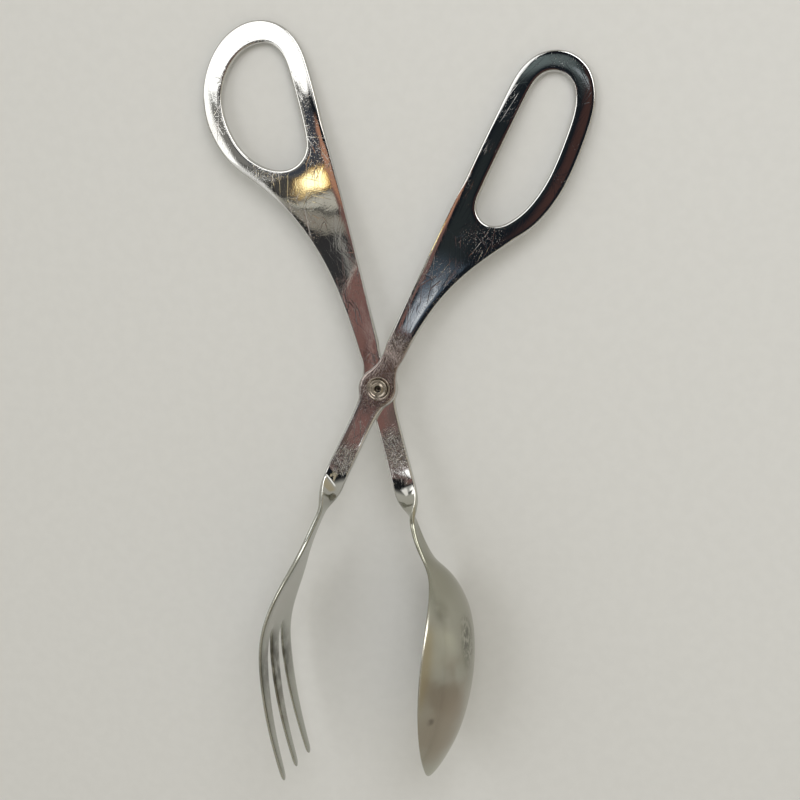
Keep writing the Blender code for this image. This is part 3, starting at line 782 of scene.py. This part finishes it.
spoonLook = {
    **steelLook,
    # place, reach, squash, dullness, strength
    "scuffs": [((0.0008, -0.0205, 0), 0.0090, (1, 1, 4), 0.01, 0.9),
               ((-0.0410, 0.092, 0), 0.021, (1.8, 1, 1), 0.0, 0.25),
               ((-0.0200, 0.0780, 0), 0.012, (1, 2.0, 1), 0.0, 0.12)],
    # on the bowl's outer side: place, reach, squash, turns, apart, length, width
    "hatches": [((0.0088, -0.0872, 0.0045), 0.0115, (1, 1, 1.8),
                 (20, 48, -14, 5), 0.0013, 0.006, 0.00022)],
    # place, reach, squash, colour, depth, cloud size
    "stainsAndPaintedLight": [
        # darker olive and brown patches and one lighter patch on the neck and bowl: painted
        # reflections of what the satin bowl mirrors
        ((0.0031, -0.0628, 0.0075), 0.016, (1, 1, 1), (0.34, 0.335, 0.275), 0.8, 0.03),
        ((0.0010, -0.0519, 0.0), 0.011, (1, 1, 1), (0.28, 0.28, 0.22), 0.8, 0.03),
        ((0.0048, -0.0760, 0.0125), 0.0055, (1.6, 0.7, 1), (0.28, 0.27, 0.22), 0.7, 0.006),
        ((0.0090, -0.0880, 0.0020), 0.014, (1.6, 0.7, 1), (0.29, 0.29, 0.23), 0.7, 0.02),
        ((0.0030, -0.0850, 0.0165), 0.009, (1, 1, 1), (0.56, 0.55, 0.46), 0.8, 0.02),
        ((0.0006, -0.0990, 0.0150), 0.014, (1, 1, 1), (0.25, 0.205, 0.155), 0.75, 0.012),
        ((-0.0040, -0.1130, 0.0120), 0.020, (1, 1, 1), (0.34, 0.29, 0.23), 0.75, 0.018),
        ((-0.0066, -0.1076, 0.0173), 0.0018, (1, 1, 1), (0.14, 0.12, 0.10), 0.6, 0.002),
    ],
}
forkLook = {
    **steelLook,
    "seed": 5.0,
    "colour": (0.59, 0.59, 0.58),
    "satinColour": (0.445, 0.45, 0.41),
    "scratchLeast": 0.18,
    "speckDepth": 0.000004,
    "scuffs": [((0.0, 0.0050, 0.0023), 0.0140, (1, 0.8, 16), 0.035, 0.8),
               ((0.0, 0.0148, 0.0025), 0.0080, (1, 1, 4), 0.0, 0.75),
               ((0.0005, -0.0262, 0.0021), 0.0075, (1, 1, 4), 0.01, 0.7)],
    "stainsAndPaintedLight": [
        # darker reddish brown over the boss and its seat: a painted reflection of the brown room
        ((0.0, 0.0050, 0.0023), 0.0165, (1, 0.85, 20), (0.30, 0.228, 0.205), 0.9, 0.05),
        ((0.0025, -0.0668, 0.0111), 0.020, (1, 1, 1), (0.45, 0.455, 0.42), 0.5, 0.02),
        # dark streaks along the tines beside the slots: painted shade
        ((0.0085, -0.0990, 0.0030), 0.015, (1, 1, 0.6), (0.07, 0.065, 0.055), 0.85, 0.004),
        ((0.0130, -0.1130, 0.0030), 0.013, (1, 1, 0.6), (0.16, 0.14, 0.11), 0.6, 0.004),
    ],
}
rivetLookWithPaintedBrown = {
    **steelLook,
    "seed": 9.0,
    # the dark brown colour and stain paint in the brown room that the rivet mirrors: a painted
    # reflection
    "colour": (0.275, 0.24, 0.20),
    "stain": (0.30, 0.26, 0.21),
    "stainSize": 0.002,
    "stainDepth": 0.7,
    "satinStart": -1.0,
    "satinFull": -2.0,
    "polishRough": 0.12,
    "waveSize": 0.002,
    "waveHeight": 0.00001,
    # near-black painted shade in the hollow of the rolled end
    "stainsAndPaintedLight": [((0, 0, 0.0018), 0.0017, (1, 1, 1), (0.03, 0.026, 0.02), 1.0, 0.1)],
}
# the washer's dark brown colour is the same painted reflection
washerLookWithPaintedBrown = {**rivetLookWithPaintedBrown, "seed": 12.0, "colour": (0.27, 0.225, 0.20), "stainsAndPaintedLight": []}

rivetSteel = usedSteel("rivetSteel", rivetLookWithPaintedBrown, tongsPlace)
washerSteel = usedSteel("washerSteel", washerLookWithPaintedBrown, tongsPlace)
spoonSteel = usedSteel("spoonSteel", spoonLook, flatFrame(spoonArm))
forkSteel = usedSteel("forkSteel", forkLook, flatFrame(forkArm))

rivetLook = {
    # radius and height, from the hollow out to the rolled edge and under it
    "rollProfile": (
        (0, -0.0019), (0.00085, -0.0019), (0.00098, -0.0017), (0.00100, 0.0000),
        (0.00112, 0.00028), (0.00135, 0.00040), (0.00160, 0.00032), (0.00185, 0.00014),
        (0.00215, 0.00010), (0.00245, 0.00018), (0.00272, 0.00026), (0.00296, 0.00018),
        (0.00308, -0.00005), (0.00306, -0.00027), (0.00290, -0.00030), (0.0022, -0.00030)),
    "shaftRadius": 0.0022,
    "headRadius": 0.0040,
    "headRise": 0.0010,
    "headSteps": 7,
    "headTurn": 84,
    "rollHeight": 0.0005,  # the crest of the roll stands this far over the washer
    "crest": 0.0004,       # and at this height in rollProfile
    "turnSteps": 96,
    "mergeReach": 0.00001,
    "cornerCut": 0.25,
}
washerLook = {
    "radius": 0.0040,
    "thickness": 0.0005,
    "lip": 0.00012,      # the edge stands this much over the flat
    "lipWidth": 0.0005,
    "lipShape": (0.25, 0.2, 0.4),  # its foot's rise and its two shoulders' fall, as shares of it
    "edge": 0.00014,
}


def turnedPiece(name, profile, closed, material, body, node):
    mesh = bpy.data.meshes.new(name)
    edges = [(k, k + 1) for k in range(len(profile) - 1)]
    if closed:
        edges.append((len(profile) - 1, 0))
    mesh.from_pydata([(radius, 0, height) for radius, height in profile], edges, [])
    draft = bpy.data.objects.new(name + "Draft", mesh)
    bpy.context.scene.collection.objects.link(draft)
    turn = draft.modifiers.new("turn", "SCREW")
    turn.steps = turn.render_steps = rivetLook["turnSteps"]
    turn.use_merge_vertices = True
    turn.merge_threshold = rivetLook["mergeReach"]
    turned = draft.evaluated_get(bpy.context.evaluated_depsgraph_get())
    bm = bmesh.new()
    bm.from_mesh(turned.to_mesh())
    turned.to_mesh_clear()
    bpy.data.objects.remove(draft)
    bmesh.ops.recalc_face_normals(bm, faces=bm.faces)
    bm.transform(tongsPlace)
    whole = bpy.data.meshes.new(name)
    bm.to_mesh(whole)
    bm.free()
    whole.materials.append(material)
    whole.shade_smooth()
    piece = bpy.data.objects.new(name, whole)
    bpy.context.scene.collection.objects.link(piece)
    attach(piece, body)
    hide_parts(node)
    print("built", name)


def rounded(profile):
    # one pass of corner cutting, which keeps the ends where they are
    corner = rivetLook["cornerCut"]
    cut = [(mix(a[0], b[0], share), mix(a[1], b[1], share))
           for a, b in zip(profile, profile[1:]) for share in (corner, 1 - corner)]
    return [profile[0]] + cut[1:-1] + [profile[-1]]


def rivetProfile():
    seat = stack["armGap"] / 2 + bossPlate + 2 * stack["restGap"] + washerLook["thickness"]
    back = -(stack["armGap"] / 2 + bossPlate + stack["restGap"])
    rise = seat + rivetLook["rollHeight"] - rivetLook["crest"]
    top = [(radius, rise + height) for radius, height in rivetLook["rollProfile"]]
    dome = []
    for k in range(rivetLook["headSteps"]):
        turn = math.radians(rivetLook["headTurn"] * k / (rivetLook["headSteps"] - 1))
        dome.append((rivetLook["headRadius"] * math.cos(turn),
                     back - rivetLook["headRise"] * math.sin(turn)))
    shaft = [(rivetLook["shaftRadius"], back)]
    return rounded(rounded(top)) + shaft + dome + [(0, back - rivetLook["headRise"])]


def washerProfile():
    low = stack["armGap"] / 2 + bossPlate + stack["restGap"]
    high = low + washerLook["thickness"]
    lip, width, edge = washerLook["lip"], washerLook["lipWidth"], washerLook["edge"]
    outer, inner = washerLook["radius"], stack["holeRadius"]
    foot, inside, outside = washerLook["lipShape"]
    flat = high - lip
    return [(inner, flat), (outer - width - 2 * edge, flat),
            (outer - width - edge, flat + lip * foot), (outer - width, high - lip * inside),
            (outer - width / 2, high), (outer - edge, high - lip * outside),
            (outer, high - lip - edge), (outer, low + edge), (outer - edge, low), (inner, low)]


cutter = holeCutter()
buildArm(spoonArm, spoonSheet, spoonSteel, cutter)
buildArm(forkArm, forkSheet, forkSteel, cutter)

turnedPiece("pivotRivet", rivetProfile(), False, rivetSteel, "spoon_side", "pivot_rivet")
turnedPiece("pivotWasher", washerProfile(), True, washerSteel, "spoon_side", "pivot_washer")

# Table, light and camera
cameraLook = {
    # degrees right of and above the rivet's axis
    "turn": 12.0,
    "rise": 5.2,
    "distance": 0.560,
    "pixelsPerMetre": 3055.0,
    "pivotPixel": (379.9, 388.2),
    "imageSize": 800,
    "sensorWidth": 36.0,
    "clip": (0.01, 20.0),
}


def placeCamera(look):
    turn, rise = math.radians(look["turn"]), math.radians(look["rise"])
    back = Vector((math.sin(turn) * math.cos(rise), math.sin(rise),
                   math.cos(turn) * math.cos(rise)))
    right = Vector((math.cos(turn), 0, -math.sin(turn)))
    up = back.cross(right)
    middle = look["imageSize"] / 2
    aim = right * ((middle - look["pivotPixel"][0]) / look["pixelsPerMetre"])
    aim -= up * ((middle - look["pivotPixel"][1]) / look["pixelsPerMetre"])
    turned = Matrix((right, up, back)).transposed().to_4x4()
    data = bpy.data.cameras.new("camera")
    data.sensor_width = look["sensorWidth"]
    data.lens = look["pixelsPerMetre"] * look["distance"] / look["imageSize"] * data.sensor_width
    data.clip_start, data.clip_end = look["clip"]
    camera = bpy.data.objects.new("camera", data)
    camera.matrix_world = tongsPlace @ Matrix.Translation(aim + back * look["distance"]) @ turned
    bpy.context.scene.collection.objects.link(camera)
    bpy.context.scene.camera = camera


placeCamera(cameraLook)
print("placed the camera")

tableLook = {
    "size": 8.0,
    "colour": (0.73, 0.73, 0.72),
    "fleck": (0.715, 0.715, 0.705),
    "fleckSize": 0.004,
    "fleckEdge": (0.3, 0.7),
    "rough": 0.8,
}
bpy.ops.mesh.primitive_plane_add(size=tableLook["size"])
table = bpy.context.object
table.name = "table"
tablePale = Finish("tablePale", Matrix.Identity(4))
flecks = tablePale.patches(tableLook["fleckSize"], tableLook["fleckEdge"], 0.0)
tablePale.feed(tablePale.shader.inputs["Base Color"],
               tablePale.mix(tableLook["colour"], tableLook["fleck"], flecks))
tablePale.shader.inputs["Roughness"].default_value = tableLook["rough"]
table.data.materials.append(tablePale.material)
print("laid the table")

# The room that the polished plates mirror. Its cards hang flat over the tongs, and a place on
# them is given in metres across and along the tongs, from above the camera's own mirror image.
room = {
    "walls": (0.56, 0.55, 0.50),
    "overhead": (0.014, 0.015, 0.017),
    "overheadAt": (-0.10, 0.0),
    "overheadInner": 0.17,
    "overheadOuter": 0.40,
    "height": 0.544,
    "least": 0.001,        # a direction flatter than this is taken at this height
    "cardPower": 5.0,      # 2 would make the cards round, and more makes them squarer
    "edgeWander": 0.003,
    "wanderSeeds": (0.0, 7.0),
    "wanderSize": 0.020,
    "cards": [
        # middle, half size, turn, softness, colour
        # what the twists and heads mirror: a warm wall, a bright strip and smaller cards
        ((0.75, -0.10), (0.50, 0.60), 0, 0.30, (0.54, 0.475, 0.345)),
        ((0.135, -0.12), (0.030, 0.26), 0, 0.25, (1.50, 1.50, 1.45)),
        ((-0.055, -0.055), (0.030, 0.035), 0, 0.30, (0.85, 0.82, 0.80)),
        ((-0.0180, -0.1330), (0.0950, 0.0300), -26, 0.06, (0.54, 0.475, 0.345)),
        ((-0.1020, -0.0922), (0.0014, 0.0180), -26, 0.5, (1.60, 1.58, 1.50)),
        ((-0.0200, -0.0535), (0.0820, 0.0200), 15, 0.06, (0.54, 0.475, 0.345)),
        ((-0.0985, -0.0745), (0.0014, 0.0120), 15, 0.5, (1.60, 1.58, 1.50)),
        ((-0.235, -0.060), (0.065, 0.080), 0, 0.20, (0.50, 0.50, 0.48)),
        ((-0.290, -0.130), (0.110, 0.060), 0, 0.20, (1.20, 1.18, 1.14)),
        # over the fork arm's handle
        ((-0.080, 0.010), (0.060, 0.075), 0, 0.15, (0.013, 0.017, 0.022)),
        ((-0.055, 0.028), (0.009, 0.036), -25, 0.5, (0.080, 0.042, 0.037)),
        ((-0.070, 0.062), (0.013, 0.009), -20, 0.6, (0.17, 0.21, 0.21)),
        ((-0.0555, 0.0530), (0.0045, 0.0018), -12, 0.7, (0.42, 0.47, 0.50)),
        ((-0.0945, 0.010), (0.007, 0.030), -25, 0.7, (0.030, 0.038, 0.040)),
        ((-0.1035, -0.0180), (0.010, 0.0110), -26, 0.6, (0.105, 0.140, 0.185)),
        ((-0.1108, -0.0262), (0.0044, 0.0105), -26, 0.5, (0.52, 0.57, 0.64)),
        ((-0.1072, -0.0205), (0.0009, 0.0085), -26, 0.6, (1.10, 1.15, 1.20)),
        ((-0.1155, -0.0352), (0.0050, 0.0009), -14, 0.5, (0.035, 0.035, 0.04)),
        # over the boss, the fork arm's shank and the spoon arm's
        ((-0.121, -0.060), (0.030, 0.026), 0, 0.12, (0.195, 0.140, 0.128)),
        ((-0.1325, -0.0560), (0.0045, 0.0180), -24, 0.5, (0.240, 0.125, 0.115)),
        ((-0.1400, -0.0700), (0.0050, 0.0100), -26, 0.5, (0.105, 0.098, 0.068)),
        ((-0.1165, -0.0775), (0.0040, 0.0018), -10, 0.5, (0.02, 0.02, 0.02)),
        ((-0.1128, -0.0750), (0.0026, 0.0048), 14, 0.6, (2.50, 2.50, 2.50)),
        ((-0.1343, -0.0765), (0.0018, 0.0042), -26, 0.6, (1.60, 1.60, 1.58)),
        # the spoon arm's handle: the window, the open sky over it and the dark frame
        ((-0.300, 0.150), (0.160, 0.1020), 0, 0.06, (2.30, 2.30, 2.27)),
        ((-0.120, 0.110), (0.034, 0.0550), 0, 0.10, (1.80, 1.80, 1.78)),
        ((-0.165, 0.086), (0.030, 0.0375), 0, 0.07, (2.30, 2.30, 2.27)),
        ((-0.168, 0.0330), (0.0215, 0.0160), 0, 0.14, (0.28, 0.275, 0.26)),
        ((-0.2194, 0.0100), (0.0500, 0.0400), 23, 0.05, (1.00, 1.00, 0.97)),
        ((-0.2287, 0.0250), (0.0500, 0.0300), 23, 0.05, (1.90, 1.90, 1.86)),
        ((-0.1470, 0.0350), (0.0110, 0.0105), 0, 0.22, (0.070, 0.080, 0.100)),
        ((-0.1560, 0.0200), (0.0160, 0.0050), -6, 0.4, (0.085, 0.082, 0.078)),
        ((-0.1432, 0.0212), (0.0070, 0.0036), 10, 0.45, (1.50, 0.86, 0.20)),
        ((-0.1442, 0.0210), (0.0048, 0.0027), 10, 0.60, (3.20, 2.85, 1.65)),
        ((-0.146, 0.0122), (0.020, 0.0027), 10, 0.40, (0.72, 0.71, 0.63)),
        ((-0.145, 0.0068), (0.018, 0.0030), -11, 0.40, (0.38, 0.36, 0.31)),
        ((-0.146, 0.0103), (0.018, 0.0006), -10, 0.5, (0.05, 0.048, 0.044)),
        ((-0.144, -0.0080), (0.018, 0.0105), 0, 0.20, (0.045, 0.045, 0.047)),
        ((-0.1357, 0.0000), (0.0006, 0.0100), 14, 0.7, (0.46, 0.45, 0.42)),
        # the brown ceiling beam beside it
        ((-0.1230, 0.0090), (0.0104, 0.0200), 15.5, 0.10, (0.24, 0.135, 0.120)),
        ((-0.1290, 0.0300), (0.0086, 0.0130), 15.5, 0.20, (0.62, 0.32, 0.21)),
        ((-0.1267, -0.0397), (0.0070, 0.0354), 0, 0.04, (0.60, 0.46, 0.43)),
        ((-0.1265, -0.0400), (0.0067, 0.0350), 0, 0.05, (0.270, 0.145, 0.128)),
        ((-0.1327, -0.0106), (0.0005, 0.0055), -13, 0.6, (0.62, 0.56, 0.50)),
        ((-0.1277, -0.0300), (0.0004, 0.0120), -4, 0.7, (0.10, 0.055, 0.055)),
        ((-0.1269, -0.0315), (0.0004, 0.0090), 8, 0.8, (0.50, 0.38, 0.36)),
    ],
}


def buildRoom(room):
    world = bpy.data.worlds.new("studio")
    bpy.context.scene.world = world
    world.use_nodes = True
    paint = NodeTools(world.node_tree)
    direction = paint.add("TexCoord").outputs["Generated"]
    direction = paint.mapped(direction, turn=layDown.inverted().to_euler())
    axes = paint.split(direction)
    above = paint.larger(axes["Z"], room["least"])
    chart = paint.add("CombineXYZ")
    wander = room["edgeWander"]
    for axis, seed in zip("XY", room["wanderSeeds"]):
        flat = paint.times(paint.math("DIVIDE", axes[axis], above), room["height"])
        place = paint.mapped(direction, (seed, seed, 0))
        loose = paint.noise(place, room["height"] / room["wanderSize"], 3.0)
        loose = paint.ramp(loose, 0.0, 1.0, -wander, wander)
        paint.feed(chart.inputs[axis], paint.plus(flat, loose))
    chart = chart.outputs["Vector"]

    def reachOut(middle, half, turn, power):
        # 0 in the middle of a card and 1 at its edge
        node = paint.add("Mapping")
        node.vector_type = "TEXTURE"
        node.inputs["Location"].default_value = (*middle, 0)
        node.inputs["Rotation"].default_value = (0, 0, math.radians(turn))
        node.inputs["Scale"].default_value = (*half, 1)
        paint.feed(node.inputs["Vector"], chart)
        sides = paint.split(node.outputs["Vector"])
        sides = [paint.math("POWER", paint.math("ABSOLUTE", sides[axis]), power) for axis in "XY"]
        return paint.math("POWER", paint.plus(*sides), 1 / power)

    around = reachOut(room["overheadAt"], (1, 1), 0, 2.0)
    around = paint.ramp(around, room["overheadInner"], room["overheadOuter"], 1.0, 0.0)
    shade = paint.mix(room["walls"], room["overhead"], around)
    for middle, half, turn, soft, colour in room["cards"]:
        card = reachOut(middle, half, turn, room["cardPower"])
        shade = paint.mix(shade, colour, paint.ramp(card, 1 - soft, 1 + soft, 1.0, 0.0))
    paint.feed(world.node_tree.nodes["Background"].inputs["Color"], shade)


buildRoom(room)
print("built the room")


def softLight(name, place, size, watts):
    data = bpy.data.lights.new(name, "AREA")
    data.shape = "RECTANGLE"
    data.size, data.size_y = size
    data.energy = watts
    lamp = bpy.data.objects.new(name, data)
    lamp.location = place
    lamp.rotation_mode = "QUATERNION"
    lamp.rotation_quaternion = (-Vector(place)).to_track_quat("-Z", "Y")
    bpy.context.scene.collection.objects.link(lamp)


lights = {
    # place, size, watts
    "keyLight": ((0.35, 0.62, 0.90), (0.6, 0.6), 4.4),
}
for name, (place, size, watts) in lights.items():
    softLight(name, place, size, watts)
print("lit the tongs")

bpy.context.scene.view_settings.view_transform = "Standard"
